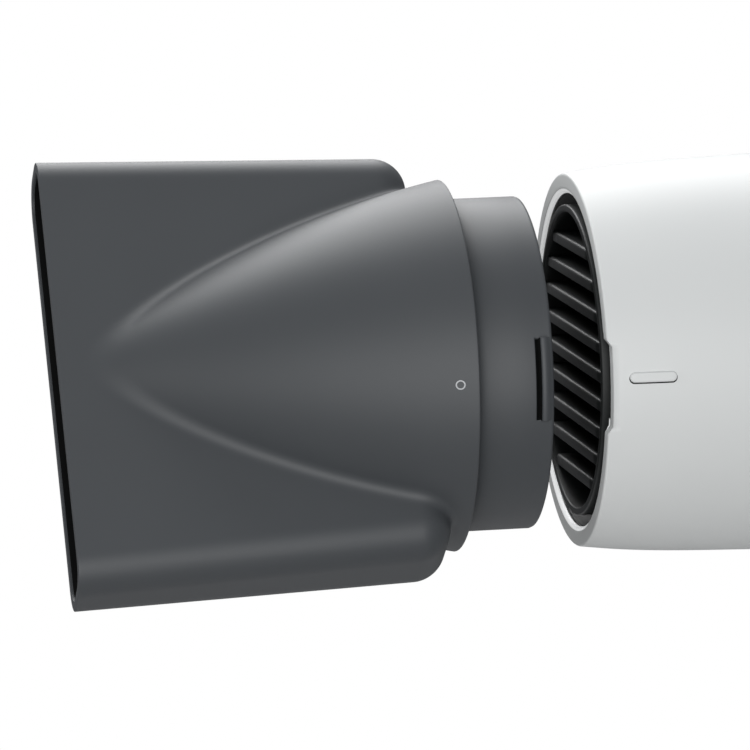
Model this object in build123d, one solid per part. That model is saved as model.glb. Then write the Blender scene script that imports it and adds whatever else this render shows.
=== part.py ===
"""Hair dryer with a detachable, turning concentrator nozzle.

Millimetres. +X runs along the barrel from the air outlet to the air intake, +Z is up, and the
handle hangs down -Z. The origin is on the barrel axis at the mouth of the nozzle spigot.
The nozzle rests pulled off, in front of the barrel, with its blade turned about the axis.
"""
from build123d import *
import os
from math import sqrt

# ---- driving dimensions: nozzle and outlet ----
lip_x = -1.2               # front plane of the barrel's lip
socket_depth = 12.0        # floor of the ring-shaped slot, from the origin
bore_r = 29.2              # outer wall of the slot that the collar slides into
spigot_r = 27.2            # inner wall of the slot
spigot_inner_r = 25.9
collar_r = 29.0            # the collar's neck, outside and inside
collar_inner_r = 27.4
collar_end_x = -9.8        # rear end of the collar with the nozzle pulled off
collar_length = 13.3
seam_x = collar_end_x - collar_length
nozzle_length = 68.7       # from the outlet edge to the seam
outlet_x = seam_x - nozzle_length
blade_turn = -32.4         # how far the blade is turned from upright at rest
blade_half_height = 41.6
blade_half_height_rear = 38.6
blade_half_thickness = 7.85
blade_half_thickness_rear = 9.3
blade_length = 64.8
blade_edge_r = 5.8
nozzle_wall = 1.8
cone_r = 32.4              # widest radius of the cone, at the shoulder
cone_fall = 0.2036         # the cone's slope there, and how much faster it falls towards the outlet
cone_curve = 0.0033
shoulder_r = 0.7           # rounding between the shoulder and the seam
slat_pitch = 5.0
slat_count = 9
slat_thickness = 1.9
slat_set_back = 0.6        # front of the slats, behind the lip's plane
slat_depth = 7.0
key_width = 15.0           # keyway and lip notch for the collar's snap rib
key_r = 30.35
snap_width = 14.5
snap_r = 30.0
mark_x = 6.4               # middle of the raised mark behind the lip

# ---- driving dimensions: barrel ----
lip_r = 32.7
barrel_end_x = 164.0
barrel_outline = [(-0.7, lip_r), (4.0, 33.3), (28.8, 34.7), (73.8, 37.2), (113.8, 39.1),
                  (143.8, 39.6), (barrel_end_x, 38.7)]
liner_r = 31.0
cap_end_x = 194.5

# ---- driving dimensions: heater ----
mica_tube_r = 29.8
mica_tube_x = (13.4, 78.0)
mica_board = 0.8
coil_r = 23.0
coil_wire_r = 0.7
coil_pitch = 6.5
coil_x = (25.0, 69.0)

# ---- driving dimensions: fan and motor ----
duct_r = 33.2
duct_inner_r = 31.8
duct_x = (86.0, 148.5)
hub_r = 20.5
hub_inner_r = 18.9
can_r = 17.6
shaft_r = 1.5
bearing_r = 3.2
bearing_bore_r = 1.55
fan_tip_r = 31.2
fan_x = (127.0, 145.0)
blade_count = 9
vane_count = 7

# ---- driving dimensions: handle ----
handle_x = 110.0           # parting plane of the two handle shells
handle_bottom_z = -165.0
handle_wall = 2.3
handle_front_x = 93.0
handle_depth = 32.2        # at the waist, front to rear
handle_width = 27.6
waist_z = -108.0
flare_z = -66.0            # the flare under the barrel starts here
flare_height = 40.0
panel_face_x = 92.7
panel_back_x = 94.3
front_wall_x = 95.8        # inside of the front shell's wall
panel_z = (-116.5, -56.5)
panel_width = 13.0
button_z = -63.5
button_r = 4.5
heat_z = -86.0             # sliders at rest, in their low position
speed_z = -108.0
slider_travel = 10.0
board_x = (101.0, 102.6)
gland_x = 105.0
loop_x = 120.0
loop_z = -178.5
screw_r = 1.25
screw_clear_r = 1.6
top_screw_z = -50.0
low_screws = (-130.0, -152.0)


# ---- shapes used all over the model ----
def turned(points):
    """Solid of revolution about the barrel axis from (x, radius) points."""
    return revolve(make_face(Polyline(*points, close=True)), Axis.X)


def rod(x0, x1, r, y=0.0, z=0.0):
    """Solid cylinder along X."""
    return Pos((x0 + x1) / 2, y, z) * Rot(0, 90, 0) * Cylinder(r, x1 - x0)


def ring(x0, x1, r_out, r_in, y=0.0, z=0.0):
    """Hollow cylinder along X."""
    return rod(x0, x1, r_out, y, z) - rod(x0 - 1, x1 + 1, r_in, y, z)


def block(x, y, z):
    """Box from its three (low, high) pairs."""
    return Pos(sum(x) / 2, sum(y) / 2, sum(z) / 2) * Box(x[1] - x[0], y[1] - y[0], z[1] - z[0])


def turn(shape, angle):
    """Turn a shape about the barrel axis."""
    return Rot(angle, 0, 0) * shape


def spread(shape, count, start=0.0):
    """Copies of a shape at equal angles about the barrel axis."""
    return [turn(shape, start + 360 * i / count) for i in range(count)]


def wire(points, r, bend):
    """Round wire along straight runs joined by tangent arcs."""
    path = FilletPolyline(*points, radius=bend)
    return sweep(Plane(path @ 0, z_dir=path % 0) * Circle(r), path=path)


# ---- nozzle ----
def cone_radius(x):
    """Radius of the nozzle's ogive: a parabola that narrows towards the outlet."""
    s = seam_x - shoulder_r - x
    return cone_r - cone_fall * s - cone_curve * s * s


def cone(x0, x1, inset):
    """Ogive solid between two stations, inset from the outer surface."""
    steps = 6
    xs = [x0 + (x1 - x0) * i / steps for i in range(steps + 1)]
    curve = Spline(*[(x, cone_radius(x) - inset) for x in xs])
    sides = Polyline((x1, cone_radius(x1) - inset), (x1, 0), (x0, 0), (x0, cone_radius(x0) - inset))
    return revolve(make_face([curve, sides]), Axis.X)


def blade(inset, front, rear):
    """Flat blade between two stations: rounded long edges and rounded rear corners."""
    sections = []
    for x, h, t in ((front, blade_half_height, blade_half_thickness),
                    (rear, blade_half_height_rear, blade_half_thickness_rear)):
        outline = RectangleRounded(2 * (t - inset), 2 * (h - inset), blade_edge_r - inset)
        sections.append(Plane((x, 0, 0), x_dir=(0, 1, 0), z_dir=(-1, 0, 0)) * outline)
    body = loft(sections)
    h = blade_half_height_rear - inset + 0.02
    corner = blade_edge_r - inset
    side = make_face(Polyline((front - 5, -h - 9), (rear - corner, -h - 9), (rear - corner, -h),
                              (rear, -h + corner), (rear, h - corner), (rear - corner, h),
                              (rear - corner, h + 9), (front - 5, h + 9), close=True))
    for sign in (-1, 1):
        side += Pos(rear - corner, sign * (h - corner)) * Circle(corner)
    return body & (Plane.XZ * extrude(side, 30, both=True))


def nozzle_shell():
    shoulder_x = seam_x - shoulder_r
    outer = cone(outlet_x + 2, shoulder_x, 0)
    shoulder = make_face([Polyline((shoulder_x, cone_r), (shoulder_x, 0), (seam_x - 0.15, 0),
                                   (seam_x - 0.15, cone_r - shoulder_r)),
                          ThreePointArc((shoulder_x, cone_r),
                                        (shoulder_x + 0.7 * shoulder_r, cone_r - 0.25 * shoulder_r),
                                        (seam_x - 0.15, cone_r - shoulder_r))])
    rear = outlet_x + blade_length
    solid = outer + revolve(shoulder, Axis.X) + blade(0, outlet_x, rear)
    throat_x = seam_x - 5.8
    inner_end = seam_x - 16.0
    solid -= cone(outlet_x + 2, inner_end, nozzle_wall)
    solid -= turned([(inner_end - 0.1, 0), (inner_end - 0.1, cone_radius(inner_end) - nozzle_wall),
                     (inner_end, cone_radius(inner_end) - nozzle_wall), (throat_x, 27.3), (throat_x, 0)])
    solid -= ring(throat_x, seam_x + 1, 28.25, 0.01) + rod(throat_x, seam_x + 1, 1)
    solid -= ring(seam_x - 5.6, seam_x - 3.8, 28.8, 20)
    solid -= blade(nozzle_wall, outlet_x - 1, rear - 2.0)
    return turn(solid, blade_turn)


def nozzle_collar():
    end = collar_end_x
    body = turned([(seam_x - 5.5, 26.6), (seam_x - 5.5, 28.1), (seam_x - 5.2, 28.5), (seam_x - 4.4, 28.5),
                   (seam_x - 4.1, 28.1), (seam_x, 28.1), (seam_x, collar_r), (end - 0.5, collar_r),
                   (end, collar_r - 0.5), (end, collar_inner_r), (seam_x, collar_inner_r), (seam_x, 26.6)])
    catch_x = end - 2.5
    half = snap_width / 2
    ramp = turned([(catch_x, 28.4), (catch_x, snap_r), (catch_x + 0.9, snap_r),
                   (end - 0.2, collar_r + 0.05), (end - 0.2, 28.4)])
    groove = ring(catch_x - 0.55, catch_x, 31, collar_r - 0.9)
    side = block((catch_x - 2, end + 1), (-35, -20), (-half, half))
    return body + (ramp & side) - (groove & side)


# ---- barrel ----
def barrel_solid(inset=0.0):
    """The barrel's outer form as a full solid, grown by a negative inset."""
    points = [(x, r - inset) for x, r in barrel_outline]
    curve = Spline(*points)
    sides = Polyline(points[-1], (barrel_end_x, 0), (lip_x, 0), (lip_x, 32.2 - inset), points[0])
    return revolve(make_face([curve, sides]), Axis.X)


def barrel_bore():
    """Inside of the barrel: bevel, liner pocket, then the wall's offset."""
    front = [(lip_x - 1, 0), (lip_x - 1, 30.8), (lip_x, 30.0), (lip_x + 0.8, bore_r), (-0.1, bore_r),
             (-0.1, liner_r), (13.5, liner_r), (13.5, 31.4)]
    points = [(13.5, 31.4), (28.8, 32.4), (73.8, 34.9), (113.8, 36.8), (143.8, 37.3), (barrel_end_x, 36.4)]
    curve = Spline(*points)
    rear = Polyline(points[-1], (barrel_end_x + 1, 36.4), (barrel_end_x + 1, 0), front[0])
    return revolve(make_face([Polyline(*front), curve, rear]), Axis.X)


def key_zone(x0, x1, width):
    """Slab on the near side of the barrel that bounds the keyway."""
    return block((x0, x1), (-40, -20), (-width / 2, width / 2))


def neck_socket(inset):
    """Oval stub under the barrel that the handle shells close around."""
    outline = RectangleRounded(24 - 2 * inset, 18 - 2 * inset, 4 - inset / 2)
    return Pos(handle_x, 0, 0) * extrude(Plane.XY.offset(-57) * outline, 57)


def barrel_shell():
    bore = barrel_bore()
    shell = barrel_solid() - bore
    shell += neck_socket(0) - barrel_solid(1.0)
    shell -= neck_socket(2)
    rib = block((70, 76), (-1, 1), (mica_tube_r, 36)) & barrel_solid(1.0)
    shell += spread(rib, 3, 30)
    shell -= ring(lip_x - 1, 0.5, key_r, 20) & key_zone(lip_x - 1, 0.5, key_width)
    half = key_width / 2
    notch = make_face(Polyline((lip_x - 1, -half - 1.6), (lip_x, -half - 0.6), (lip_x + 0.85, -half + 0.6),
                               (lip_x + 0.85, half - 0.6), (lip_x, half + 0.6), (lip_x - 1, half + 1.6),
                               close=True))
    shell -= Plane.XZ * extrude(notch, 40)
    pill = Plane.XZ.offset(30) * SlotOverall(8.1, 1.9)
    shell += Pos(mark_x, 0, 0) * extrude(pill, 3.85)
    shell -= bore
    for x in (99, 121):
        shell -= rod(x - 2.5, x + 2.5, screw_clear_r, 0, top_screw_z)
    return shell


def outlet_liner():
    tube = turned([(-0.1, bore_r), (-0.1, liner_r), (13.4, liner_r), (13.4, 29.15), (17, 29.15), (17, 28.0),
                   (13.4, 28.0), (13.4, 26.9), (socket_depth, 26.9), (socket_depth, bore_r)])
    return tube - (ring(-1, socket_depth, key_r, 20) & key_zone(-1, socket_depth, key_width))


def outlet_grille():
    front = lip_x
    body = turned([(front, spigot_inner_r + 0.3), (front + 0.3, spigot_inner_r), (15, spigot_inner_r),
                   (15, 26.9), (socket_depth, 26.9), (socket_depth, spigot_r), (front + 0.4, spigot_r),
                   (front, spigot_r - 0.4)])
    for i in range(slat_count):
        z = (i - slat_count // 2) * slat_pitch
        slat = block((front + slat_set_back, front + slat_set_back + slat_depth), (-28, 28),
                     (z - slat_thickness / 2, z + slat_thickness / 2))
        body += slat & rod(front, 12, spigot_inner_r + 0.2)
    return body


# ---- heater ----
def mica_tube():
    return ring(*mica_tube_x, mica_tube_r, 29.2)


def heater_board(slot_x):
    """One mica board of the crossed pair, upright, with the slot that its twin slides into."""
    half = mica_board / 2
    board = block((21, 73), (-half, half), (-21.9, 21.9))
    for x in ((17.2, 21), (73, 76)):
        board += block(x, (-half, half), (-29.0, 29.0)) & rod(10, 80, 29.1)
    return board - block(slot_x, (-2, 2), (-half, half))


def mica_board_upright():
    return heater_board((10, 46.5))


def mica_board_flat():
    return turn(heater_board((46.5, 80)), 90)


def heater_coil():
    turns = Helix(coil_pitch, coil_x[1] - coil_x[0], coil_r)
    coil = sweep(Plane(turns @ 0, z_dir=turns % 0) * Circle(coil_wire_r), path=turns, is_frenet=True)
    return Pos(coil_x[0], 0, 0) * Rot(0, 90, 0) * coil


def thermostat():
    half = mica_board / 2
    can = Pos(58, half + 2.6, 11) * Rot(90, 0, 0) * Cylinder(4.5, 2.4)
    return block((51, 65), (half, half + 1.6), (8, 14)) + can


def thermal_fuse():
    body = rod(52, 62, 2, -9, -mica_board / 2 - 2)
    return body + rod(48, 66, 0.4, -9, -mica_board / 2 - 2)


def heater_leads():
    route = [(103.4, -70), (103.4, -34.0), (80.6, -34.0), (80.6, -22.2)]
    return [wire([(x, y, z) for x, z in route], 0.8, 2.0) for y in (-5.2, 5.2)]


# ---- fan and motor ----
def fan_housing():
    x0, x1 = duct_x
    body = ring(x0, x1, duct_r, duct_inner_r) + ring(146, x1, 36.3, duct_inner_r)
    body += spread(block((88, 92), (-1, 1), (duct_r - 0.3, 35.2)), 4, 45)
    body += ring(90, 124, hub_r, hub_inner_r) + ring(122.5, 124, hub_r, 4.2)
    vane = block((94, 116), (-0.7, 0.7), (hub_r - 0.4, duct_inner_r + 0.4))
    body += spread(vane, vane_count, 12)
    for hole in spread(rod(140, 150, 0.9, 0, 34.0), 3, 60):
        body -= hole
    return body


def motor_can():
    body = ring(92, 122, can_r, can_r - 1) + ring(121, 122, can_r, bearing_r)
    return body + ring(121, 124.6, 4.0, bearing_r)


def motor_end_cap():
    body = ring(89, 92, can_r, bearing_r) + ring(86.2, 90, 4.4, bearing_r) + ring(86.2, 87, 4.4, 1)
    body += rod(86.2, 87, 2)
    for y in (-11, 11):
        body += rod(85, 90, 1.5, y)
    return body


def bearing(x0, x1):
    return ring(x0, x1, bearing_r, bearing_bore_r)


def motor_magnets():
    arc = ring(97, 117, can_r - 1, 12.4)
    wedge = block((90, 120), (-20, 20), (-6.5, 6.5))
    return arc - wedge


def motor_armature():
    body = ring(98, 116, 11.7, shaft_r)
    for slot in spread(block((90, 120), (-0.8, 0.8), (6.5, 14)), 5):
        body -= slot
    return body


def motor_commutator():
    return ring(93.2, 96.6, 4.5, shaft_r)


def motor_brushes():
    return [block((92, 96.2), (-1.5, 1.5), z) for z in ((4.7, 9), (-9, -4.7))]


def motor_dampers():
    return [ring(x, x + 4, hub_inner_r, can_r) for x in (94, 112)]


def rectifier_board():
    board = rod(83.4, 85.0, 15)
    for y in (-5, 5):
        for z in (-4, 4):
            board += rod(80.9, 83.5, 1.3, y, z)
    return board


def motor_leads():
    route = [(103.4, -68), (103.4, -34.4), (84.2, -34.4), (84.2, -14.95)]
    return [wire([(x, y, z) for x, z in route], 0.7, 2.0) for y in (-2.7, 2.7)]


def fan_rotor():
    x0, x1 = fan_x
    hub = turned([(x0, 13), (x0, 15), (x1 - 3, 15), (x1 - 0.8, 14), (x1, 12), (x1, shaft_r),
                  (x0 + 8, shaft_r), (x0 + 8, 4), (x1 - 2.5, 4), (x1 - 2.5, 13)])
    vane = Pos(136, 0, 23) * Rot(0, 0, 38) * Box(15, 1.3, 17.2)
    vane = vane & ring(120, 150, fan_tip_r, 14.2)
    return hub + spread(vane, blade_count)


# ---- rear end ----
def rear_frame():
    body = turned([(150, duct_inner_r), (150, 36.2), (barrel_end_x, 36.2), (barrel_end_x, 38.5),
                   (166.6, 38.5), (166.6, 34.2), (157, 34.2), (157, duct_inner_r)])
    for hole in spread(rod(149, 158, 0.9, 0, 34.0), 3, 60):
        body -= hole
    for seat in spread(rod(152, 158, 1.7, 0, 34.0), 3, 60):
        body -= seat
    return body


def rear_frame_screws():
    screw = rod(146.2, 152.1, 0.9, 0, 34.0) + rod(152, 153.3, 1.6, 0, 34.0)
    screw -= block((152.7, 154), (-0.25, 0.25), (32, 36))
    return spread(screw, 3, 60)


def intake_guard():
    x0, x1 = 157.0, 159.4
    body = ring(x0, x1, 34.1, 31.8) + rod(x0, x1, 4)
    for r in (11, 18, 25):
        body += ring(x0, x1, r + 0.6, r - 0.6)
    return body + spread(block((x0, x1), (-0.8, 0.8), (3, 32)), 8)


def cap_outline(inset):
    """Points of the filter cap's domed outline, from its rim to the axis."""
    return [(166.9 + inset, 38.4 - inset), (178 - 0.1 * inset, 37.2 - inset), (187.6 - 0.6 * inset, 32.2 - inset),
            (192.6 - 0.9 * inset, 22 - inset), (cap_end_x - inset, 0)]


def cap_solid(inset):
    points = cap_outline(inset)
    curve = Spline(*points, tangents=[(1, -0.08), (0, -1)])
    return revolve(make_face([curve, Polyline(points[-1], (points[0][0], 0), points[0])]), Axis.X)


def filter_cap():
    body = cap_solid(0) - cap_solid(2.0)
    body -= rod(160, 169.0, 34.0)
    body += ring(161, 169.2, 34.0, 32.2)
    for i in range(slat_count):
        z = (i - slat_count // 2) * slat_pitch
        half = sqrt(27.0 ** 2 - z * z)
        body -= block((178, 200), (-half, half), (z - 1.6, z + 1.6))
    return body


def filter_mesh():
    return rod(163.5, 164.1, 32.2) + ring(162.5, 165.1, 32.2, 31.0)


# ---- handle ----
def handle_section(z):
    """Front face x, depth, width and corner radius of the handle at a height.

    The depth and width grow with the square of the distance from the waist, and with the cube
    of the height above the start of the flare.
    """
    away = ((z - waist_z) / 57) ** 2
    flare = max(0.0, (z - flare_z) / flare_height) ** 3
    depth = handle_depth + 3.4 * away + 19 * flare
    width = handle_width + 2.4 * away + 16 * flare
    return handle_front_x - 10.5 * flare, depth, width, 0.385 * width


def handle_form(front, side, rear):
    """Lofted handle, inset from its front, sides and rear."""
    faces = []
    for z in (-26, -33, -40, -47, -54, -64, -78, -94, -112, -130, -148, handle_bottom_z):
        x, depth, width, corner = handle_section(z)
        d = depth - front - rear
        outline = RectangleRounded(d, width - 2 * side, corner - side)
        faces.append(Plane.XY.offset(z) * Pos(x + front + d / 2, 0) * outline)
    return loft(faces)


def pill_plate(x0, x1, width, z0, z1, corner):
    """Upright plate across X with rounded corners."""
    outline = RectangleRounded(width, z1 - z0, corner)
    plane = Plane((x0, 0, (z0 + z1) / 2), x_dir=(0, -1, 0), z_dir=(1, 0, 0))
    return extrude(plane * outline, x1 - x0)


def slider_slot(z, x0, x1):
    """Opening that a slider's stem runs in."""
    return pill_plate(x0, x1, 4.7, z - 2.9, z + slider_travel + 2.9, 1.0)


def control_openings(x0, x1):
    """Openings for the button and the two sliders, through panel and shell."""
    return [rod(x0, x1, button_r + 0.2, 0, button_z), slider_slot(heat_z, x0, x1), slider_slot(speed_z, x0, x1)]


handle_cavity = handle_form(front_wall_x - handle_front_x, handle_wall, handle_wall)
# both handle shells as one hollow piece, cut to the barrel above it
handle_body = handle_form(0, 0, 0) - handle_cavity - barrel_solid(-0.12)
handle_limit = handle_form(1.0, 1.0, 1.0) - barrel_solid(-0.12)


def handle_front_shell():
    body = handle_body & block((60, handle_x), (-40, 40), (-200, 0))
    limit = handle_limit
    for z in low_screws:
        body += rod(94, handle_x, 3.4, 0, z) & limit
        body -= rod(98, handle_x + 1, screw_r, 0, z)
    body += rod(92, 97.8, 3.4, 0, top_screw_z) & limit
    body -= rod(95, 99, screw_r, 0, top_screw_z)
    body -= pill_plate(80, panel_back_x, panel_width + 0.1, panel_z[0] - 0.05, panel_z[1] + 0.05, 3.05)
    for opening in control_openings(90, 97):
        body -= opening
    return body


def handle_rear_shell():
    body = handle_body & block((handle_x, 150), (-40, 40), (-200, 0))
    limit = handle_limit
    for z in low_screws:
        body += rod(handle_x, 126, 4.2, 0, z) & limit
        body -= rod(handle_x - 1, 130, screw_clear_r, 0, z)
        body -= rod(121.5, 135, 3.0, 0, z)
    body += rod(122.2, 128, 4.2, 0, top_screw_z) & limit
    body -= rod(120, 130, screw_clear_r, 0, top_screw_z)
    body -= rod(124.4, 135, 3.0, 0, top_screw_z)
    return body


def handle_screw(x_tip, x_seat, z):
    """Pan-head screw along X with a cross slot in its head."""
    head = rod(x_seat, x_seat + 1.9, 2.8, 0, z)
    for size in ((0.35, 1.8), (1.8, 0.35)):
        head -= block((x_seat + 0.9, x_seat + 3), (-size[0], size[0]), (z - size[1], z + size[1]))
    return rod(x_tip, x_seat + 0.1, screw_r, 0, z) + head


def handle_screws():
    return [handle_screw(99, 121.5, z) for z in low_screws] + [handle_screw(95.2, 124.4, top_screw_z)]


def handle_base():
    z = handle_bottom_z
    x, depth, width, corner = handle_section(z)
    centre = x + depth / 2
    body = Pos(centre, 0, 0) * extrude(Plane.XY.offset(z - 5) * RectangleRounded(depth, width, corner), 5)
    body = fillet(body.faces().sort_by(Axis.Z)[0].edges(), 3.0)
    # spigot that plugs into the two shells, hollow, narrower than their cavity at its top
    x, depth, width, corner = handle_section(z + 6)
    centre = (x + front_wall_x - handle_front_x + x + depth - handle_wall) / 2
    depth, width = depth - 5.4, width - 5.0
    for inset, low in ((0, z - 0.5), (2, z)):
        plug = RectangleRounded(depth - 2 * inset, width - 2 * inset, corner - 2.6 - inset)
        plug = Pos(centre, 0, 0) * extrude(Plane.XY.offset(low) * plug, z + 6 - low + inset)
        body = body - plug if inset else body + plug
    loop = Pos(loop_x, 0, loop_z) * Rot(90, 0, 0) * Cylinder(9.0, 4.0)
    body += loop + block((loop_x - 7.0, loop_x + 5.5), (-2, 2), (loop_z, z - 2))
    body -= Pos(loop_x, 0, loop_z) * Rot(90, 0, 0) * Cylinder(6.0, 10)
    body -= Pos(gland_x, 0, z - 2) * Cylinder(5.6, 20)
    return body


def cord_gland():
    top = handle_bottom_z + 2.5
    body = Pos(gland_x, 0, (top + handle_bottom_z - 11) / 2) * Cylinder(5.5, top - handle_bottom_z + 11)
    body += Pos(gland_x, 0, handle_bottom_z - 6.6) * Cylinder(6.6, 3.0)
    body += Pos(gland_x, 0, top - 1.2) * Cylinder(6.4, 2.4)
    return body - Pos(gland_x, 0, handle_bottom_z) * Cylinder(3.75, 60)


# ---- controls ----
def switch_panel():
    body = pill_plate(panel_face_x, panel_back_x, panel_width, *panel_z, 3.0)
    body = chamfer(body.faces().sort_by(Axis.X)[0].outer_wire().edges(), 0.35)
    for opening in control_openings(90, 97):
        body -= opening
    return body


def slider(z):
    """Thumb slider: ribbed cap outside, stem through the slot, shoe behind the wall."""
    cap = block((90.1, panel_face_x - 0.3), (-4.2, 4.2), (z - 4.2, z + 4.2))
    cap = fillet(cap.faces().sort_by(Axis.X)[0].edges(), 0.9)
    for i in (-1, 0, 1):
        cap += block((89.6, 90.6), (-3.0, 3.0), (z + 2.0 * i - 0.4, z + 2.0 * i + 0.4))
    stem = block((92, 96.8), (-2.1, 2.1), (z - 2.5, z + 2.5))
    return cap + stem + block((96.1, 96.9), (-3.6, 3.6), (z - 3.4, z + 3.4))


def speed_slider():
    return slider(speed_z)


def heat_slider():
    return slider(heat_z)


def slide_switch(z):
    """Slide switch on the board behind a slider, long enough for its travel."""
    mid = z + slider_travel / 2
    return block((97.2, board_x[0]), (-6, 6), (mid - 9.6, mid + 9.6))


def speed_switch():
    return slide_switch(speed_z)


def heat_switch():
    return slide_switch(heat_z)


def cool_shot_button():
    body = rod(91.0, 96.2, button_r, 0, button_z)
    body = fillet(body.edges().sort_by(Axis.X)[0], 0.8)
    return body + rod(96.1, 96.9, button_r + 0.9, 0, button_z)


def cool_shot_spring():
    turns = Helix(1.1, 3.3, 3.4)
    coil = sweep(Plane(turns @ 0, z_dir=turns % 0) * Circle(0.28), path=turns, is_frenet=True)
    return Pos(97.3, 0, button_z) * Rot(0, 90, 0) * coil


def cool_shot_switch():
    return block((99.8, board_x[0]), (-2.1, 2.1), (button_z - 2.1, button_z + 2.1))


def switch_board():
    return block(board_x, (-8.5, 8.5), (-119, -57.5))


pieces = [
    nozzle_shell, nozzle_collar, barrel_shell, outlet_liner, outlet_grille,
    mica_tube, mica_board_upright, mica_board_flat, heater_coil, thermostat, thermal_fuse, heater_leads,
    fan_housing, motor_can, motor_end_cap, motor_magnets, motor_armature, motor_commutator, motor_brushes,
    motor_dampers, rectifier_board, motor_leads, fan_rotor,
    rear_frame, rear_frame_screws, intake_guard, filter_cap, filter_mesh,
    handle_front_shell, handle_rear_shell, handle_screws, handle_base, cord_gland,
    switch_panel, speed_slider, heat_slider, speed_switch, heat_switch,
    cool_shot_button, cool_shot_spring, cool_shot_switch, switch_board,
]

os.makedirs("parts", exist_ok=True)
shapes = {make.__name__: make() for make in pieces}
shapes["motor_shaft"] = rod(87.05, 143.0, shaft_r)
shapes["front_bearing"] = bearing(87.0, 90.0)
shapes["rear_bearing"] = bearing(121.4, 124.4)
for name, shape in shapes.items():
    if isinstance(shape, list):
        shape = Compound(children=[part for item in shape for part in item.solids()])
    export_step(shape, f"parts/{name}.step")
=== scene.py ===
from math import radians

import bpy
import numpy as np
from mathutils import Matrix, Vector


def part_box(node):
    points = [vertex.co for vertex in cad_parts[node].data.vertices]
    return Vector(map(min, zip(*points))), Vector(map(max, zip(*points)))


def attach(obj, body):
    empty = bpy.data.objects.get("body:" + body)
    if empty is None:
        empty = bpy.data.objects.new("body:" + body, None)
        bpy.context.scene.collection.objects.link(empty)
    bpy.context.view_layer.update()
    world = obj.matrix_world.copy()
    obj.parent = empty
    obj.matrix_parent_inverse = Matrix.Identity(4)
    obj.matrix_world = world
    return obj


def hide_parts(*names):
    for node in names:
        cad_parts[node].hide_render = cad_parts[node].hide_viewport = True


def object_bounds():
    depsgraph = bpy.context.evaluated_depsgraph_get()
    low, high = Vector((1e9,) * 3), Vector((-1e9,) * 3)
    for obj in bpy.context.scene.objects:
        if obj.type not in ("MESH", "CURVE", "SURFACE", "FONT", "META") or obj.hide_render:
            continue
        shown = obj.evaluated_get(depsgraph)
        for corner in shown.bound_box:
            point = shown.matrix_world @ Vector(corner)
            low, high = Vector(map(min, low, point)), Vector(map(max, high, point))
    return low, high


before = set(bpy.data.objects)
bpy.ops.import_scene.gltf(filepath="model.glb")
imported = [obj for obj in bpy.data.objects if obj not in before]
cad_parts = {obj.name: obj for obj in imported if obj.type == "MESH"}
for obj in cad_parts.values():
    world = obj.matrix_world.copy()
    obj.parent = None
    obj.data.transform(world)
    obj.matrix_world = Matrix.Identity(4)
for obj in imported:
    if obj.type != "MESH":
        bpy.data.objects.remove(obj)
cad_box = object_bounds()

# ---- Stage ----
# A grey floor just under the hanging loop, surroundings that light most from overhead but look plain
# white, and three soft boxes. Places on the stage are in metres, and pieces are in millimetres.
mm = 0.001
floor_gap = 0.2 * mm
floor_z = cad_box[0].z - floor_gap
floor_radius = 0.60
fade_from = 0.18
fade_to = 0.56


def mesh_object(name, points, faces, material):
    """Smooth mesh from an array of points in millimetres and a list or array of faces."""
    mesh = bpy.data.meshes.new(name)
    face_list = faces.tolist() if isinstance(faces, np.ndarray) else faces
    mesh.from_pydata((np.asarray(points).reshape(-1, 3) * mm).tolist(), [], face_list)
    mesh.polygons.foreach_set("use_smooth", [True] * len(mesh.polygons))
    mesh.materials.append(material)
    made = bpy.data.objects.new(name, mesh)
    bpy.context.scene.collection.objects.link(made)
    return made


def linear(hex_colour):
    """sRGB hex colour as linear red, green, blue and alpha."""
    srgb = np.array([int(hex_colour[i:i + 2], 16) for i in (1, 3, 5)]) / 255
    low, high = srgb / 12.92, ((srgb + 0.055) / 1.055) ** 2.4
    return (*np.where(srgb < 0.04045, low, high), 1.0)


def add(tree, kind, inputs=(), **settings):
    """Add a node: settings are its properties, and inputs its socket values or the outputs they link to."""
    made = tree.nodes.new(kind)
    for name, value in settings.items():
        setattr(made, name, value)
    for name, value in dict(inputs).items():
        if isinstance(value, bpy.types.NodeSocket):
            tree.links.new(value, made.inputs[name])
        else:
            made.inputs[name].default_value = value
    return made


def new_material(name):
    """Empty material with its Principled shader already joined to its output."""
    material = bpy.data.materials.new(name)
    material.use_nodes = True
    return material, material.node_tree, material.node_tree.nodes["Principled BSDF"]


# matt painted floor, with a slow change of tone as rolled paint has
floor_paint, tree, shader = new_material("matt_floor_paint")
place = add(tree, "ShaderNodeTexCoord")
cloud = add(tree, "ShaderNodeTexNoise", {"Vector": place.outputs["Object"], "Scale": 3.0})
tone = add(tree, "ShaderNodeMix", {"Factor": cloud.outputs[0], "A": linear("#A4A4A4"),
                                   "B": linear("#AAAAAA")}, data_type="RGBA")
tree.links.new(tone.outputs["Result"], shader.inputs["Base Color"])
shader.inputs["Roughness"].default_value = 0.9
# the floor thins out towards its rim, so that it runs into the white surroundings without an edge
reach = add(tree, "ShaderNodeVectorMath", {0: place.outputs["Object"]}, operation="LENGTH")
fade = add(tree, "ShaderNodeMapRange",
           {"Value": reach.outputs["Value"], "From Min": fade_from, "From Max": fade_to,
            "To Min": 1.0, "To Max": 0.0}, interpolation_type="SMOOTHSTEP")
tree.links.new(fade.outputs[0], shader.inputs["Alpha"])
around = np.linspace(0, 2 * np.pi, 96, endpoint=False)
rim = np.stack([floor_radius * np.cos(around), floor_radius * np.sin(around),
                np.full_like(around, floor_z)], -1) / mm
floor = mesh_object("floor", rim, [list(range(96))], floor_paint)

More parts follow.
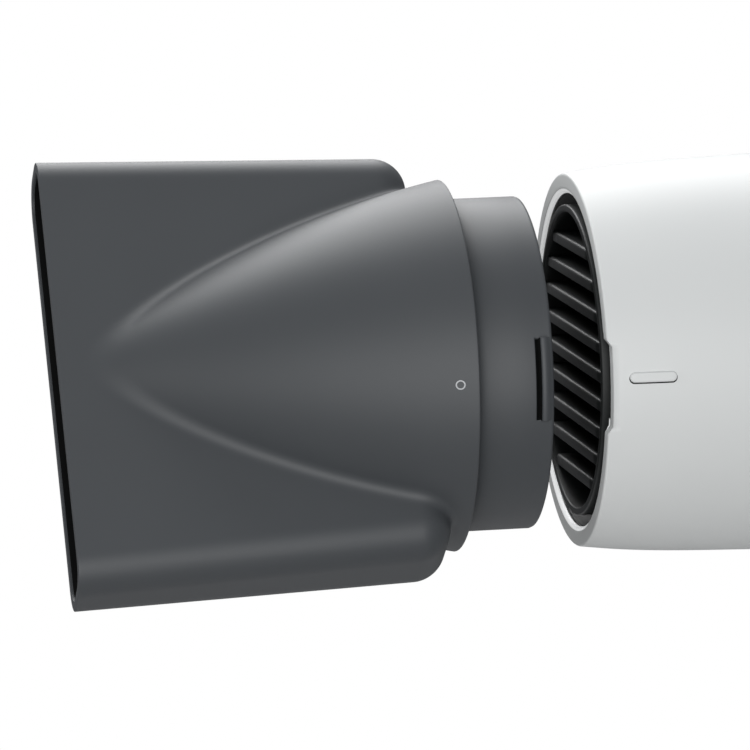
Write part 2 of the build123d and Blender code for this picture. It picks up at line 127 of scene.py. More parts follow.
# surroundings: dim below and paler overhead for lighting, and plain white to the camera
world = bpy.data.worlds.new("studio")
bpy.context.scene.world = world
world.use_nodes = True
tree = world.node_tree
tree.nodes.clear()
place = add(tree, "ShaderNodeTexCoord")
split = add(tree, "ShaderNodeSeparateXYZ", {"Vector": place.outputs["Generated"]})
height = add(tree, "ShaderNodeMapRange", {"Value": split.outputs["Z"], "From Min": -0.7, "From Max": 0.7})
sky = add(tree, "ShaderNodeValToRGB", {"Fac": height.outputs[0]})
sky.color_ramp.elements[0].color = linear("#303030")
sky.color_ramp.elements[1].color = linear("#F4F6FA")
lit = add(tree, "ShaderNodeBackground", {"Color": sky.outputs[0], "Strength": 0.45})
seen = add(tree, "ShaderNodeBackground", {"Color": (1, 1, 1, 1), "Strength": 1.0})
ray = add(tree, "ShaderNodeLightPath")
mix = add(tree, "ShaderNodeMixShader", {0: ray.outputs["Is Camera Ray"], 1: lit.outputs[0],
                                        2: seen.outputs[0]})
add(tree, "ShaderNodeOutputWorld", {"Surface": mix.outputs[0]})
bpy.context.scene.view_settings.view_transform = "Standard"

# soft boxes: name, place, diameter and watts; each faces the middle of the dryer
for name, place, size, power in (
        ("softbox_overhead", (-0.10, 0.57, 0.70), 1.0, 11.5),
        ("softbox_front", (-0.25, -1.30, 0.05), 1.2, 12.0),
        ("softbox_left", (-1.30, -0.25, 0.15), 0.5, 2.0)):
    lamp = bpy.data.lights.new(name, "AREA")
    lamp.shape = "DISK"
    lamp.size = size
    lamp.energy = power
    lit_from = bpy.data.objects.new(name, lamp)
    lit_from.location = place
    lit_from.rotation_euler = (-Vector(place)).to_track_quat("-Z", "Y").to_euler()
    bpy.context.scene.collection.objects.link(lit_from)

# ---- Camera ----
# A long lens from the near side, a little in front of the outlet and a little above the barrel's
# axis, rolled so that the axis rises towards the intake. It takes in the nozzle and the outlet.
view_azimuth = radians(-8.94)
view_elevation = radians(6.02)
view_roll = radians(1.71)
view_distance = 1.0
lens_mm = 276.5
aim_right = 10.1 * mm
aim_down = 0.56 * mm
looked_at = Vector((-46 * mm, 0, 0))
outward = Vector((np.sin(view_azimuth) * np.cos(view_elevation),
                  -np.cos(view_azimuth) * np.cos(view_elevation), np.sin(view_elevation)))


def camera_axes(forward):
    """Right and up axes of a camera that looks forward: level ones, then turned by the roll."""
    right = forward.cross(Vector((0, 0, 1))).normalized()
    up = right.cross(forward)
    return (right * np.cos(view_roll) - up * np.sin(view_roll),
            up * np.cos(view_roll) + right * np.sin(view_roll))


right, up = camera_axes(-outward)
camera_place = looked_at + outward * view_distance
forward = (looked_at + right * aim_right - up * aim_down - camera_place).normalized()
right, up = camera_axes(forward)
camera = bpy.data.objects.new("camera", bpy.data.cameras.new("camera"))
camera.data.lens = lens_mm
camera.data.clip_end = 20
camera.matrix_world = Matrix((right, up, -forward)).transposed().to_4x4()
camera.location = camera_place
bpy.context.scene.collection.objects.link(camera)
bpy.context.scene.camera = camera

# ---- Nozzle shell ----
# The concentrator's outer part: one moulding in dark ABS, a flat blade with a slot, blended into an
# ogive that ends in a rounded shoulder. It turns on the collar, so a fine seam parts them.
nozzle_low, nozzle_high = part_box("nozzle_shell")
outlet_x = nozzle_low.x / mm
seam_x = nozzle_high.x / mm
shoulder_r = 0.4
shoulder_run = 0.25             # the shoulder's rounding is shorter along the axis than across it
shoulder_x = seam_x - shoulder_run
cone_r = 32.4
cone_fall = 0.2036              # the ogive's slope at the shoulder
cone_curve = 0.0033             # and how much faster it falls towards the outlet
blade_turn = radians(-32.4)
half_height = (41.6, 38.6)      # at the outlet and at the blade's rear
half_thickness = (7.85, 9.3)
blade_length = 64.8
edge_r = 5.8
wall = 1.8
crease = 1.7                    # how far the fillet between blade and ogive reaches
recess_r = 28.25                # what the collar's bead turns in
recess_x = seam_x - 5.65
socket_chamfer = 0.2
throat_r = (27.3, 27.6)         # at the recess's floor and where the blade's inside begins
throat_length = 4.0
close_reach = 16.0              # rows stand closer this near the shoulder, and lean to its circle
close_step = 0.4
most_lean = 0.85
lean_reach = (22.0, 10.0)       # where the rows start to lean, and where they lean most
ease_reach = 2.0
rim_reach = 0.45                # where the outer rows start behind the outlet's rim
inner_reach = (14.0, 0.4)       # where the inner rows start, and how near the rim they end
inner_fillet = 1.0


def cone_radius(x):
    """Radius of the ogive: a parabola that falls from the shoulder towards the outlet."""
    s = shoulder_x - x
    return cone_r - cone_fall * s - cone_curve * s * s


def blade_distance(x, along, across, inset):
    """Distance to a box with rounded edges and rear corners, whose sides taper along x."""
    t = np.clip((x - outlet_x) / blade_length, 0, 1)
    r = edge_r - inset
    h = half_height[0] + (half_height[1] - half_height[0]) * t - inset - r
    w = half_thickness[0] + (half_thickness[1] - half_thickness[0]) * t - inset - r
    rear = outlet_x + blade_length - inset - r
    q = np.stack([np.abs(along) - h, np.abs(across) - w, x - rear + 0 * along])
    return np.linalg.norm(np.maximum(q, 0), axis=0) + np.minimum(q.max(0), 0) - r


def cone_distance(x, radius, inset):
    """Distance to the ogive: radial gap times the cosine of the slope."""
    slope = cone_fall + 2 * cone_curve * (shoulder_x - x)
    return (radius - cone_radius(x) + inset) / np.sqrt(1 + slope ** 2)


def smooth_least(a, b, reach):
    """Lesser of two distances, with a fillet where they are within reach of each other."""
    near = np.maximum(reach - np.abs(a - b), 0) / reach
    return np.minimum(a, b) - near ** 2 * reach / 4


def nozzle_radius(x, lean, angle, inset, reach):
    """Where rays from the axis leave the union of blade and ogive, found by halving an interval.

    A ray starts at station x, at an angle about the axis, and leans rearward by lean for each
    millimetre of radius past the ogive's widest one.
    """
    low = np.full(np.broadcast(x, angle).shape, 2.0)
    high = low + 50.0
    halvings = 34
    for _ in range(halvings):
        middle = (low + high) / 2
        at = x + (middle - cone_r) * lean
        inside = smooth_least(blade_distance(at, middle * np.cos(angle), middle * np.sin(angle), inset),
                              cone_distance(at, middle, inset), reach) < 0
        low = np.where(inside, middle, low)
        high = np.where(inside, high, middle)
    return x + (low - cone_r) * lean, low


def even_angles(count, share):
    """Angles about the axis, spaced partly evenly and partly by arc length round the blade's outline."""
    fine = np.linspace(0, 2 * np.pi, 7201)
    h, w = half_height[0], half_thickness[0]
    reach = 1 / np.maximum(np.abs(np.cos(fine)) / h, np.abs(np.sin(fine)) / w)
    outline = np.stack([reach * np.cos(fine), reach * np.sin(fine)])
    length = np.concatenate([[0], np.cumsum(np.linalg.norm(np.diff(outline), axis=0))])
    mixed = share * length / length[-1] + (1 - share) * fine / fine[-1]
    return np.interp(np.arange(count) / count, mixed, fine)


def polar(x, radius, angle, turned=0.0):
    """Points at a station, a radius and an angle; angle 0 is up, and pi/2 is the near side."""
    x, radius, angle = np.broadcast_arrays(x, radius, angle + turned)
    return np.stack([x, -radius * np.sin(angle), radius * np.cos(angle)], -1)


def grid_faces(rows, columns, close_rows=True):
    """Quads over a grid of points: each row is closed, and the last row joins the first if asked."""
    i = np.arange(rows if close_rows else rows - 1)[:, None]
    j = np.arange(columns)[None, :]
    a, b = i * columns + j, i * columns + (j + 1) % columns
    c, d = (i + 1) % rows * columns + (j + 1) % columns, (i + 1) % rows * columns + j
    return np.stack([a, b, c, d], -1).reshape(-1, 4)


angle = even_angles(420, 0.55)[None, :]
station = np.concatenate([np.linspace(outlet_x + rim_reach, shoulder_x - close_reach, 92),
                          np.linspace(shoulder_x - close_reach + close_step, shoulder_x, 46)])[:, None]
lean = most_lean * np.clip((station - shoulder_x + lean_reach[0]) / (lean_reach[0] - lean_reach[1]), 0, 1)
outer_x, outer_r = nozzle_radius(station, lean, angle, 0.0, crease)
# the last rows all end on the shoulder's circle
ease = np.clip((station - shoulder_x + ease_reach) / ease_reach, 0, 1)
outer_x = outer_x + ease * (station - outer_x)
outer_r = outer_r + ease * (cone_radius(station) - outer_r)
arc = np.linspace(0, np.pi / 2, 10)[1:, None]
round_x = shoulder_x + shoulder_run * np.sin(arc) + 0 * angle
round_r = cone_r - shoulder_r + shoulder_r * np.cos(arc) + 0 * angle
socket = np.array([(seam_x, recess_r + socket_chamfer), (seam_x - socket_chamfer, recess_r),
                   (recess_x, recess_r), (recess_x, throat_r[0]), (recess_x - throat_length, throat_r[1])])
socket_x, socket_r = socket[:, 0, None] + 0 * angle, socket[:, 1, None] + 0 * angle
inner_station = np.linspace(shoulder_x - inner_reach[0], outlet_x + inner_reach[1], 44)[:, None]
inner_x, inner_r = nozzle_radius(inner_station, 0.0, angle, wall, inner_fillet)
# the rim: a thin flat edge with both of its corners barely eased
lip_inner = inner_r[-1:]
lip_outer = outer_r[:1]
rim = np.array([(0.1, 0.0), (0.03, 0.03), (0.0, 0.1), (0.0, 0.3)])
rim_x = outlet_x + np.concatenate([rim[:, 0], rim[::-1, 0]])[:, None] + 0 * angle
rim_r = np.concatenate([lip_inner + rim[:, 1, None], lip_outer - rim[::-1, 1, None]])
points = polar(np.concatenate([outer_x, round_x, socket_x, inner_x, rim_x]),
               np.concatenate([outer_r, round_r, socket_r, inner_r, rim_r]), angle, blade_turn)

# injection-moulded ABS with a spark-eroded satin skin: dark, soft highlights, faint grain
grey_abs, tree, shader = new_material("satin_grey_moulded_abs")
place = add(tree, "ShaderNodeTexCoord")
cloud = add(tree, "ShaderNodeTexNoise", {"Vector": place.outputs["Object"], "Scale": 45.0, "Detail": 3.0})
tone = add(tree, "ShaderNodeMix", {"Factor": cloud.outputs[0], "A": linear("#3E4144"),
                                   "B": linear("#434649")}, data_type="RGBA")
tree.links.new(tone.outputs["Result"], shader.inputs["Base Color"])
# spark erosion leaves pits of about 0.2 mm, drawn at 0.35 mm so that they show
grain = add(tree, "ShaderNodeTexNoise", {"Vector": place.outputs["Object"], "Scale": 1 / (0.35 * mm),
                                         "Detail": 2.0})
bump = add(tree, "ShaderNodeBump", {"Height": grain.outputs[0], "Strength": 0.10, "Distance": 0.05 * mm})
tree.links.new(bump.outputs[0], shader.inputs["Normal"])
sheen = add(tree, "ShaderNodeMapRange", {"Value": grain.outputs[0], "To Min": 0.48, "To Max": 0.54})
tree.links.new(sheen.outputs[0], shader.inputs["Roughness"])
shader.inputs["IOR"].default_value = 1.52

# painted shade: the same moulding inside, coloured near black for the shade that falls there, without gloss
painted_shade_abs, tree, shader = new_material("grey_abs_painted_shade")
place = add(tree, "ShaderNodeTexCoord")
shade_noise = add(tree, "ShaderNodeTexNoise", {"Vector": place.outputs["Object"], "Scale": 1 / (4 * mm),
                                        "Detail": 3.0})
tone = add(tree, "ShaderNodeMix", {"Factor": shade_noise.outputs[0], "A": linear("#0B0C0C"),
                                   "B": linear("#131414")}, data_type="RGBA")
tree.links.new(tone.outputs["Result"], shader.inputs["Base Color"])
shader.inputs["Roughness"].default_value = 0.9
shader.inputs["Specular IOR Level"].default_value = 0.1

faces = grid_faces(*points.shape[:2])
shell = mesh_object("nozzle_shell_skin", points, faces, grey_abs)
# painted shade: the inside rows of the shell take the near-black material, for the shade inside the slot
shell.data.materials.append(painted_shade_abs)
first_inner = len(outer_x) + len(round_x) + len(socket_x) - 1
row = faces[:, 0] // points.shape[1]
is_inner = (row >= first_inner) & (row < first_inner + len(inner_x))
shell.data.polygons.foreach_set("material_index", is_inner.astype(int).tolist())
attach(shell, "nozzle_shell")
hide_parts("nozzle_shell")

# ---- Alignment ring ----
# A small ring, pad-printed in pale ink beside the seam, that shows which way the nozzle is turned.
ring_x = seam_x - 3.3
ring_r = (0.60, 0.83)
ink_thickness = 0.05
pale_ink, tree, shader = new_material("pad_printed_pale_ink")
place = add(tree, "ShaderNodeTexCoord")
speckle = add(tree, "ShaderNodeTexNoise", {"Vector": place.outputs["Object"], "Scale": 1 / (0.2 * mm)})
tone = add(tree, "ShaderNodeMix", {"Factor": speckle.outputs[0], "A": linear("#B8BABC"),
                                   "B": linear("#D2D4D6")}, data_type="RGBA")
tree.links.new(tone.outputs["Result"], shader.inputs["Base Color"])
shader.inputs["Roughness"].default_value = 0.55

turn = np.linspace(0, 2 * np.pi, 64, endpoint=False)[None, :]
section = np.array([(ring_r[0], -0.3), (ring_r[0], 1.0), (ring_r[1], 1.0), (ring_r[1], -0.3)])
along = ring_x + section[:, 0, None] * np.cos(turn)
around = section[:, 0, None] * np.sin(turn) / cone_r
lift = cone_radius(along) + section[:, 1, None] * ink_thickness
ring = mesh_object("alignment_ring", polar(along, lift, np.pi / 2 + around), grid_faces(4, 64), pale_ink)
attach(ring, "nozzle_shell")

# ---- Nozzle collar ----
# The dark neck that slides over the barrel's spigot, moulded in the same ABS as the shell. Its front
# bead snaps into the shell, and a snap rib behind a moulded slot holds it in the barrel's keyway.
collar_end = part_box("nozzle_collar")[1].x / mm
collar_r = 29.0
collar_inner_r = 27.4
bead_r = 28.1
bead_inner_r = 26.6
bead_length = 5.4
rib_half = 7.25
rib_r = 30.0
rib_front = collar_end - 2.3
rib_slot = 0.8
slot_r = collar_r - 1.4


def edged_angles(count, edges, gap=0.0012):
    """Even angles plus a close pair at each edge, so that a wall there stands nearly square."""
    even = np.linspace(0, 2 * np.pi, count, endpoint=False)
    edges = np.array(edges)
    even = even[np.abs(even[:, None] - edges).min(1) > 3 * gap]
    return np.sort(np.concatenate([even, edges - gap, edges + gap]))[None, :]


rib_angle = np.arcsin(rib_half / rib_r)
angle = edged_angles(480, [np.pi / 2 - rib_angle, np.pi / 2 + rib_angle])
in_rib = np.abs(angle - np.pi / 2) < rib_angle
# the profile from the bead round to the bore; close pairs of points keep an edge crisp
plain = np.array([
    (seam_x - bead_length + 0.1, bead_r), (seam_x - bead_length + 0.3, bead_r),
    (seam_x - bead_length + 0.5, bead_r), (seam_x - 0.1, bead_r),
    (seam_x, bead_r + 0.1), (seam_x, collar_r - 0.15), (seam_x + 0.15, collar_r),
    (rib_front - rib_slot - 0.15, collar_r), (rib_front - rib_slot, collar_r),
    (rib_front - rib_slot + 0.05, collar_r), (rib_front - 0.05, collar_r), (rib_front, collar_r),
    (rib_front + 0.2, collar_r), (rib_front + 1.1, collar_r), (collar_end - 0.6, collar_r),
    (collar_end - 0.45, collar_r), (collar_end - 0.13, collar_r - 0.13), (collar_end, collar_r - 0.45),
    (collar_end, collar_inner_r + 0.2), (collar_end - 0.2, collar_inner_r),
    (seam_x + 0.1, collar_inner_r), (seam_x, bead_inner_r), (seam_x - bead_length, bead_inner_r),
    (seam_x - bead_length, bead_r - 0.1)])
x = plain[:, 0, None] + 0 * angle
r = plain[:, 1, None] + 0 * angle
# inside the rib's width, the points from the slot's front wall onwards take the slot's floor, the
# rib's front edge and crown, and the ramp behind it
slot_wall = 8
ribbed = [slot_r, slot_r, rib_r - 0.2, rib_r, rib_r, collar_r + 0.05]
for row, height in enumerate(ribbed, slot_wall + 1):
    r[row] = np.where(in_rib, height, r[row])
faces = grid_faces(*x.shape)
collar = mesh_object("nozzle_collar_skin", polar(x, r, angle), faces, grey_abs)
# painted shade: the slot's walls and floor take the moulding's near-black painted shade
collar.data.materials.append(painted_shade_abs)
row, column = np.divmod(faces[:, 0], x.shape[1])
is_slot = (row >= slot_wall) & (row <= slot_wall + 2) & in_rib[0][column]
collar.data.polygons.foreach_set("material_index", is_slot.astype(int).tolist())
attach(collar, "nozzle_collar")
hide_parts("nozzle_collar")

# ---- Barrel shell ----
# The white barrel: one ABS moulding, a slim tube that widens towards the fan. Its lip has a flat
# band and a bevel with a painted highlight, with a notch and a keyway on the near side for the nozzle's
# snap rib.
lip_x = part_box("barrel_shell")[0].x / mm
barrel_end = 164.0
barrel_inner_end_r = 36.4
bore_r = 29.2
lip_inner_r = 30.0
lip_r = 32.7
lip_round = 0.5
bevel_depth = 0.72
liner_r = 31.0
liner_front = -0.1
liner_end = 13.4
outline = np.array([(lip_x + lip_round, lip_r), (4, 33.3), (28.8, 34.7), (73.8, 37.2), (113.8, 39.1),
                    (143.8, 39.6), (barrel_end, 38.7)])
inside = np.array([(13.5, 31.4), (28.8, 32.4), (73.8, 34.9), (113.8, 36.8), (143.8, 37.3),
                   (barrel_end, barrel_inner_end_r)])
notch_half = (8.1, 6.9)         # at the lip's front and at the notch's floor
notch_depth = 0.85
notch_z = -1.6
key_half = 7.5
key_r = 30.35


def smooth_curve(points, count):
    """Natural cubic spline of radius over x through the points, at evenly spaced stations."""
    x, y = np.array(points, float).T
    h = np.diff(x)
    system = np.diag(np.concatenate([[1], 2 * (h[:-1] + h[1:]), [1]]))
    system[np.arange(1, len(h)), np.arange(len(h) - 1)] = h[:-1]
    system[np.arange(1, len(h)), np.arange(2, len(h) + 1)] = h[1:]
    slopes = np.diff(y) / h
    m = np.linalg.solve(system, np.concatenate([[0], 6 * np.diff(slopes), [0]]))
    at = np.linspace(x[0], x[-1], count)
    i = np.clip(np.searchsorted(x, at, side="right") - 1, 0, len(h) - 1)
    a, b = (x[i + 1] - at) / h[i], (at - x[i]) / h[i]
    return np.stack([at, a * y[i] + b * y[i + 1] + ((a ** 3 - a) * m[i] + (b ** 3 - b) * m[i + 1])
                     * h[i] ** 2 / 6], -1)


def arc_points(centre, radius, start, end, count):
    """Points on an arc in the (x, radius) plane, angles in degrees from +x."""
    t = np.radians(np.linspace(start, end, count))
    return np.stack([centre[0] + radius * np.cos(t), centre[1] + radius * np.sin(t)], -1)


key_angle = np.arcsin(key_half / key_r)
key_edges = [np.pi / 2 - key_angle, np.pi / 2 + key_angle]
angle = edged_angles(720, key_edges)
barrel_line = smooth_curve(outline, 90)
# from the liner's seat round the bore, bevel, lip and outside, and back along the inside; close
# points on both sides of an edge keep it crisp
profile = np.concatenate([
    [(liner_front, liner_r), (liner_front, bore_r)],
    [(lip_x + bevel_depth, bore_r), (lip_x + bevel_depth - 0.1, bore_r + 0.03),
     (lip_x + 0.14, lip_inner_r - 0.2), (lip_x + 0.05, lip_inner_r - 0.04)],
    [(lip_x, lip_inner_r + 0.1), (lip_x, lip_inner_r + 0.5), (lip_x, lip_r - 0.8)],
    arc_points((lip_x + lip_round, lip_r - lip_round), lip_round, 180, 92, 7),
    barrel_line[1:],
    [(barrel_end, barrel_inner_end_r)],
    smooth_curve(inside, 50)[::-1],
    [(liner_end, liner_r)],
])
bevel_rows = (2, 4)             # the first and last row of faces on the bevel
x = profile[:, 0, None] + 0 * angle
r = profile[:, 1, None] + 0 * angle
side = np.abs(r * np.cos(angle) - notch_z)
lip = (x < 0) & (np.sin(angle) > 0)
r = np.where(lip & (np.abs(angle - np.pi / 2) < key_angle) & (r < key_r), key_r, r)
depth = notch_depth * np.clip((notch_half[0] - side) / (notch_half[0] - notch_half[1]), 0, 1)
x = np.where(lip, np.maximum(x, lip_x + depth), x)

# white ABS, moulded in a finely blasted tool: broad soft reflections with only a trace of ripple
white_abs, tree, shader = new_material("soft_gloss_white_moulded_abs")
place = add(tree, "ShaderNodeTexCoord")
cloud = add(tree, "ShaderNodeTexNoise", {"Vector": place.outputs["Object"], "Scale": 30.0})
tone = add(tree, "ShaderNodeMix", {"Factor": cloud.outputs[0], "A": linear("#D7D9D8"),
                                   "B": linear("#DBDDDC")}, data_type="RGBA")
tree.links.new(tone.outputs["Result"], shader.inputs["Base Color"])
ripple = add(tree, "ShaderNodeTexNoise", {"Vector": place.outputs["Object"], "Scale": 1 / (1.2 * mm)})
bump = add(tree, "ShaderNodeBump", {"Height": ripple.outputs[0], "Strength": 0.04, "Distance": 0.02 * mm})
tree.links.new(bump.outputs[0], shader.inputs["Normal"])
sheen = add(tree, "ShaderNodeMapRange", {"Value": cloud.outputs[0], "To Min": 0.40, "To Max": 0.46})
tree.links.new(sheen.outputs[0], shader.inputs["Roughness"])
shader.inputs["IOR"].default_value = 1.53
shader.inputs["Specular IOR Level"].default_value = 0.25

# painted highlight on the lip's bevel: a paler, smoother white than the skin, and a faint glow, so
# that the bevel reads bright; the glow isn't a measured property.
painted_highlight_abs, tree, shader = new_material("white_abs_painted_highlight")
place = add(tree, "ShaderNodeTexCoord")
highlight_noise = add(tree, "ShaderNodeTexNoise", {"Vector": place.outputs["Object"], "Scale": 1 / (1.5 * mm)})
tone = add(tree, "ShaderNodeMix", {"Factor": highlight_noise.outputs[0], "A": linear("#F6F7F7"),
                                   "B": linear("#FAFBFB")}, data_type="RGBA")
tree.links.new(tone.outputs["Result"], shader.inputs["Base Color"])
shader.inputs["Roughness"].default_value = 0.35
tree.links.new(tone.outputs["Result"], shader.inputs["Emission Color"])
shader.inputs["Emission Strength"].default_value = 0.4

faces = grid_faces(*x.shape)
barrel = mesh_object("barrel_skin", polar(x, r, angle), faces, white_abs)
barrel.data.materials.append(painted_highlight_abs)
# painted highlight: the bevel's faces take the paler, faintly glowing white
row = faces[:, 0] // x.shape[1]
is_bevel = (row >= bevel_rows[0]) & (row <= bevel_rows[1])
barrel.data.polygons.foreach_set("material_index", is_bevel.astype(int).tolist())
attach(barrel, "housing")
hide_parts("barrel_shell")

# ---- Side mark ----
# A short raised lozenge on the barrel's near side, in line with the snap rib, that shows where the
# nozzle's rib goes in. Under it lies a near-black plate, set a little low: painted shadow that shows
# as a dark hairline below the lozenge.
mark_centre_x = 6.4
mark_half = (4.0, 0.9)
mark_rise = 0.5
shadow_half = (4.1, 0.95)       # half length and half height, as the mark's
shadow_drop = 0.17
shadow_rise = 0.03
skirt = 0.4                     # how far both reach down into the barrel's wall
rounded_share = 0.25            # share of the half width that the rounded edge takes


def pill(name, half, centre_z, rise, material):
    """Lozenge on the barrel's near side: circles that shrink as they rise round a quarter arc.

    The two halves of each circle are pushed apart along x, which makes the straight sides.
    """
    t = np.linspace(0, 2 * np.pi, 96, endpoint=False)[None, :]
    quarter = np.linspace(0, np.pi / 2, 7)
    shrink = np.concatenate([[1.0], 1 - rounded_share * (1 - np.cos(quarter)), [0.3, 0.01]])[:, None]
    lift = np.concatenate([[-skirt], rise * np.sin(quarter), [rise, rise]])[:, None]
    straight = (half[0] - half[1]) * np.clip(np.cos(t) * 6, -1, 1) * np.minimum(shrink * 3, 1)
    x = mark_centre_x + half[1] * shrink * np.cos(t) + straight
    z = centre_z + half[1] * shrink * np.sin(t)
    y = -np.sqrt(np.interp(x, barrel_line[:, 0], barrel_line[:, 1]) ** 2 - z ** 2) - lift
    rows, columns = x.shape
    faces = grid_faces(rows, columns, close_rows=False).tolist()
    faces += [list(range((rows - 1) * columns, rows * columns)), list(range(columns - 1, -1, -1))]
    return mesh_object(name, np.stack([x, y, z], -1), faces, material)


# painted shadow: a near-black plate, dropped a little below the mark, so that a dark line shows under it
painted_shadow = pill("side_mark_painted_shadow", shadow_half, -shadow_drop, shadow_rise, painted_shade_abs)
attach(painted_shadow, "housing")
mark = pill("barrel_side_mark", mark_half, 0.0, mark_rise, white_abs)
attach(mark, "housing")

# ---- Outlet liner ----
# The dark outer wall of the ring-shaped slot that the nozzle's neck slides into: a nylon ring
# pressed into the barrel, with the keyway for the snap rib.
liner_floor = 12.0
liner_inner_r = 26.9
press_gap = 0.05                # keeps the liner's skin just inside the barrel's
angle = edged_angles(360, key_edges)
profile = np.array([(liner_front, bore_r), (liner_front, liner_r - press_gap),
                    (liner_end, liner_r - press_gap), (liner_end, liner_inner_r),
                    (liner_floor, liner_inner_r), (liner_floor, bore_r)])
x = profile[:, 0, None] + 0 * angle
r = profile[:, 1, None] + 0 * angle
keyed = (np.abs(angle - np.pi / 2) < key_angle) & (r == bore_r)
r = np.where(keyed, key_r, r)

# heat-resistant nylon with glass fibre: near black, with a dull streaked skin
dark_nylon, tree, shader = new_material("moulded_glass_filled_nylon")
place = add(tree, "ShaderNodeTexCoord")
fibre = add(tree, "ShaderNodeTexNoise", {"Vector": place.outputs["Object"], "Scale": 1 / (0.8 * mm),
                                         "Detail": 3.0})
tone = add(tree, "ShaderNodeMix", {"Factor": fibre.outputs[0], "A": linear("#1E2020"),
                                   "B": linear("#252727")}, data_type="RGBA")
tree.links.new(tone.outputs["Result"], shader.inputs["Base Color"])
bump = add(tree, "ShaderNodeBump", {"Height": fibre.outputs[0], "Strength": 0.12, "Distance": 0.05 * mm})
tree.links.new(bump.outputs[0], shader.inputs["Normal"])
sheen = add(tree, "ShaderNodeMapRange", {"Value": fibre.outputs[0], "To Min": 0.42, "To Max": 0.50})
tree.links.new(sheen.outputs[0], shader.inputs["Roughness"])
shader.inputs["IOR"].default_value = 1.53
shader.inputs["Specular IOR Level"].default_value = 0.3

liner = mesh_object("outlet_liner_skin", polar(x, r, angle), grid_faces(*x.shape), dark_nylon)
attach(liner, "housing")
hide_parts("outlet_liner")

# ---- Outlet grille ----
# The spigot that the nozzle fits over, moulded in one with nine flat slats whose front edges are
# rounded. It keeps fingers off the heater.
spigot_r = 27.2
spigot_inner_r = 25.9
spigot_round = (0.35, 0.3)      # outside and inside the spigot's front edge
slat_pitch = 5.0
slat_count = 9
slat_thickness = 1.9
slat_turn = radians(2.3)        # the slats rise a little towards the far side
slat_front = lip_x + 0.6
slat_depth = 7.0
slat_round = (0.55, 0.2)        # above and below the slat's front edge
slat_stations = 9
slat_root = 0.3                 # how far a slat's end runs into the spigot's wall
grille_end = 15.0
angle = np.linspace(0, 2 * np.pi, 360, endpoint=False)[None, :]
profile = np.concatenate([
    arc_points((lip_x + spigot_round[0], spigot_r - spigot_round[0]), spigot_round[0], 90, 180, 5),
    arc_points((lip_x + spigot_round[1], spigot_inner_r + spigot_round[1]), spigot_round[1], 180, 270, 5),
    [(grille_end, spigot_inner_r), (grille_end, liner_inner_r),
     (liner_floor, liner_inner_r), (liner_floor, spigot_r)]])
x = profile[:, 0, None] + 0 * angle
r = profile[:, 1, None] + 0 * angle
points = polar(x, r, angle).reshape(-1, 3)
faces = grid_faces(*x.shape)[:, ::-1].tolist()
nose = slat_thickness / 2
top_round, bottom_round = slat_round
for i in range(slat_count):
    z = (i - slat_count // 2) * slat_pitch
    half = np.sqrt((spigot_inner_r + slat_root) ** 2 - (abs(z) + nose) ** 2)
    section = np.concatenate([
        arc_points((slat_front + top_round, z + nose - top_round), top_round, 90, 180, 7),
        arc_points((slat_front + bottom_round, z - nose + bottom_round), bottom_round, 180, 270, 4),
        [(slat_front + slat_depth, z - nose), (slat_front + slat_depth, z + nose)]])
    y = np.linspace(-half, half, slat_stations)[:, None]
    across, height = y + 0 * section[None, :, 0], section[None, :, 1] + 0 * y
    slat = np.stack([section[None, :, 0] + 0 * y,
                     across * np.cos(slat_turn) - height * np.sin(slat_turn),
                     across * np.sin(slat_turn) + height * np.cos(slat_turn)], -1)
    first, size = len(points), len(section)
    points = np.concatenate([points, slat.reshape(-1, 3)])
    last = len(points)
    faces += (grid_faces(slat_stations, size, close_rows=False)[:, ::-1] + first).tolist()
    faces += [list(range(first, first + size)), list(range(last - 1, last - size - 1, -1))]
grille = mesh_object("outlet_grille_skin", points, faces, dark_nylon)
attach(grille, "housing")
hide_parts("outlet_grille")

# ---- Carried-over pieces ----
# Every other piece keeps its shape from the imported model, and gets the material that its slot names.
finishes = {"white_abs": white_abs, "grey_abs": grey_abs, "dark_nylon": dark_nylon}
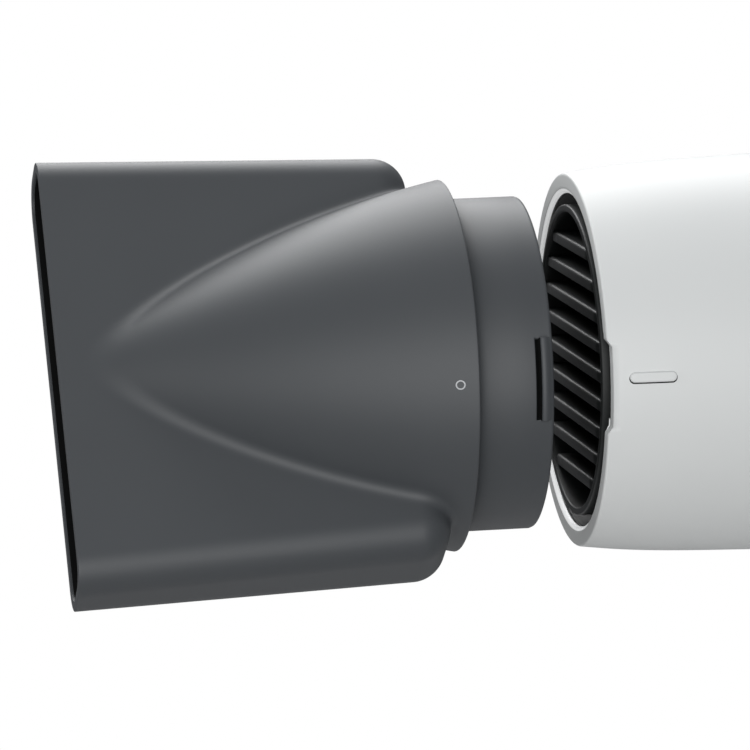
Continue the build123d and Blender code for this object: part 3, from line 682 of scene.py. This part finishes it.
# each slot's darker and paler colour, roughness, metallic, and the grain of its surface in mm
for name, (low, high, roughness, metallic, grit) in {
        "light_grey_abs": ("#A9ACAD", "#B1B4B5", 0.45, 0.0, 0.4),
        "black_rubber": ("#1B1B1C", "#222223", 0.75, 0.0, 0.3),
        "zinc_steel": ("#B9BBBD", "#C6C8CA", 0.30, 1.0, 0.5),
        "bearing_bronze": ("#9A7142", "#A77C4B", 0.40, 1.0, 0.2),
        "mica": ("#A99B7F", "#BCAE90", 0.40, 0.0, 1.5),
        "resistance_wire": ("#8C8A86", "#9D9A95", 0.38, 1.0, 0.4),
        "ferrite": ("#3B3B3D", "#454547", 0.60, 0.0, 0.2),
        "motor_steel": ("#A6A8AA", "#B4B6B8", 0.33, 1.0, 0.6),
        "carbon": ("#29292A", "#313132", 0.65, 0.0, 0.2),
        "fuse_metal": ("#C4B9A0", "#D2C8AF", 0.32, 1.0, 0.3),
        "wire_sheath": ("#D5D2CB", "#E0DDD6", 0.55, 0.0, 0.5),
        "circuit_board": ("#4A6A3C", "#557647", 0.45, 0.0, 0.7),
        "filter_steel": ("#8E9092", "#A0A2A4", 0.35, 1.0, 0.4)}.items():
    made, tree, shader = new_material(name)
    place = add(tree, "ShaderNodeTexCoord")
    grain = add(tree, "ShaderNodeTexNoise", {"Vector": place.outputs["Object"], "Scale": 1 / (grit * mm),
                                             "Detail": 3.0})
    tone = add(tree, "ShaderNodeMix", {"Factor": grain.outputs[0], "A": linear(low),
                                       "B": linear(high)}, data_type="RGBA")
    tree.links.new(tone.outputs["Result"], shader.inputs["Base Color"])
    bump = add(tree, "ShaderNodeBump", {"Height": grain.outputs[0], "Strength": 0.1, "Distance": 0.05 * mm})
    tree.links.new(bump.outputs[0], shader.inputs["Normal"])
    sheen = add(tree, "ShaderNodeMapRange", {"Value": grain.outputs[0], "To Min": roughness - 0.03,
                                             "To Max": roughness + 0.05})
    tree.links.new(sheen.outputs[0], shader.inputs["Roughness"])
    shader.inputs["Metallic"].default_value = metallic
    finishes[name] = made
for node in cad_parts.values():
    for holder in node.material_slots:
        holder.material = finishes.get(holder.material.name.split(".")[0], white_abs)
